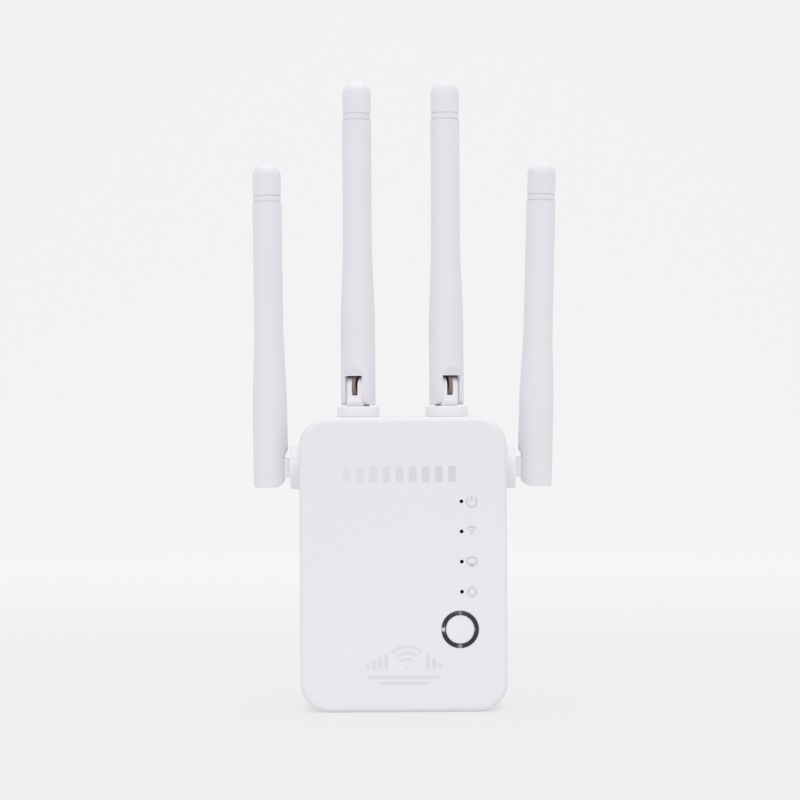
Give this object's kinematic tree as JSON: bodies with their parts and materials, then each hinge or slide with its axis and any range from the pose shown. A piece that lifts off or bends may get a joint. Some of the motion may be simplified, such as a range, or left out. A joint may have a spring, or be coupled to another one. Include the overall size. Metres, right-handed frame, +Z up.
{
  "type": "wifi range extender",
  "caption": "Slab-shaped plug-in wireless range extender with folding, swivelling stick antennas, indicator lights, a ringed push button, network sockets and a mains plug behind.",
  "frame": {"origin": "on the bottom face, on the bridge between the two network sockets, midway across the case", "axes": "+Z up towards the top antennas, -Y out of the front face with the button, +X to the right as seen from the front; the plug points along +Y"},
  "size_m": [0.1078, 0.0663, 0.221],
  "materials": {
    "gloss_white": "smooth white moulding with a light gloss",
    "case_white": "satin white moulding",
    "antenna_white": "satin white moulding, a little greyer than the case",
    "dark_chrome": "dark mirror plating",
    "nickel": "bright nickel plating",
    "steel": "plain zinc-plated steel",
    "brass": "plain brass",
    "aluminium": "drawn can",
    "black_plastic": "plain black moulding",
    "board_green": "solder mask",
    "led_clear": "clear lens",
    "coax_brown": "thin brown-grey cable jacket",
    "tape_yellow": "insulating tape"
  },
  "bodies": {
    "case": {"front_cover": "gloss_white", "rear_cover": "case_white", "plug_housing": "case_white", "antenna_collar_left": "case_white", "antenna_collar_top_left": "case_white", "antenna_collar_top_right": "case_white", "antenna_collar_right": "case_white", "button_ring": "dark_chrome", "plug_pin_left": "nickel", "plug_pin_right": "nickel", "case_screw_lower_left": "steel", "case_screw_lower_right": "steel", "case_screw_upper_left": "steel", "case_screw_upper_right": "steel", "ethernet_socket_left": "steel", "ethernet_socket_right": "steel", "mains_fuse": "steel", "input_capacitor": "aluminium", "output_capacitor": "aluminium", "pin_sleeve_left": "black_plastic", "pin_sleeve_right": "black_plastic", "led_light_shield": "black_plastic", "wps_switch": "black_plastic", "wireless_chip": "black_plastic", "memory_chip": "black_plastic", "network_transformer": "black_plastic", "board_header": "black_plastic", "main_board": "board_green", "power_board": "board_green", "led_power": "led_clear", "led_wireless": "led_clear", "led_network": "led_clear", "led_pairing": "led_clear", "coax_lead_left": "coax_brown", "coax_lead_top_left": "coax_brown", "coax_lead_top_right": "coax_brown", "coax_lead_right": "coax_brown", "power_transformer": "tape_yellow"},
    "swivel_left": {"antenna_knuckle_left": "antenna_white"},
    "antenna_left": {"hinge_sleeve_left": "antenna_white", "antenna_tube_left": "antenna_white", "antenna_element_left": "brass", "antenna_coax_left": "coax_brown"},
    "swivel_top_left": {"antenna_knuckle_top_left": "antenna_white"},
    "antenna_top_left": {"hinge_sleeve_top_left": "antenna_white", "antenna_tube_top_left": "antenna_white", "antenna_element_top_left": "brass", "antenna_coax_top_left": "coax_brown"},
    "swivel_top_right": {"antenna_knuckle_top_right": "antenna_white"},
    "antenna_top_right": {"hinge_sleeve_top_right": "antenna_white", "antenna_tube_top_right": "antenna_white", "antenna_element_top_right": "brass", "antenna_coax_top_right": "coax_brown"},
    "swivel_right": {"antenna_knuckle_right": "antenna_white"},
    "antenna_right": {"hinge_sleeve_right": "antenna_white", "antenna_tube_right": "antenna_white", "antenna_element_right": "brass", "antenna_coax_right": "coax_brown"},
    "button": {"wps_button": "gloss_white"},
    "switch_plunger": {"wps_switch_plunger": "black_plastic"}
  },
  "joints": [
    {"name": "swivel_left", "type": "hinge", "parent": "case", "child": "swivel_left", "pos_m": [-0.0467, 0.003, 0.0842], "axis": [-1, 0, 0], "range_deg": [-90, 90]},
    {"name": "fold_left", "type": "hinge", "parent": "swivel_left", "child": "antenna_left", "pos_m": [-0.0467, 0.003, 0.0842], "axis": [0, 1, 0], "range_deg": [-89.5, 0.5]},
    {"name": "swivel_top_left", "type": "hinge", "parent": "case", "child": "swivel_top_left", "pos_m": [-0.0156, 0.003, 0.113], "axis": [0, 0, 1], "range_deg": [-70, 65]},
    {"name": "fold_top_left", "type": "hinge", "parent": "swivel_top_left", "child": "antenna_top_left", "pos_m": [-0.0156, 0.003, 0.113], "axis": [0.9397, -0.342, 0], "range_deg": [0, 90]},
    {"name": "swivel_top_right", "type": "hinge", "parent": "case", "child": "swivel_top_right", "pos_m": [0.0156, 0.003, 0.113], "axis": [0, 0, 1], "range_deg": [-65, 70]},
    {"name": "fold_top_right", "type": "hinge", "parent": "swivel_top_right", "child": "antenna_top_right", "pos_m": [0.0156, 0.003, 0.113], "axis": [0.9397, 0.342, 0], "range_deg": [0, 90]},
    {"name": "swivel_right", "type": "hinge", "parent": "case", "child": "swivel_right", "pos_m": [0.0467, 0.003, 0.0842], "axis": [1, 0, 0], "range_deg": [-90, 90]},
    {"name": "fold_right", "type": "hinge", "parent": "swivel_right", "child": "antenna_right", "pos_m": [0.0467, 0.003, 0.0842], "axis": [0, -1, 0], "range_deg": [-88.3, 1.7]},
    {"name": "wps_button_press", "type": "slide", "parent": "case", "child": "button", "axis": [0, 1, 0], "range_m": [0, 0.0005], "stiffness_N_per_m": 1600},
    {"name": "wps_switch_press", "type": "slide", "parent": "case", "child": "switch_plunger", "axis": [0, 1, 0], "range_m": [0, 0.0005]}
  ],
  "couplings": [
    {"joint": "wps_switch_press", "follows": "wps_button_press", "ratio": 1}
  ]
}
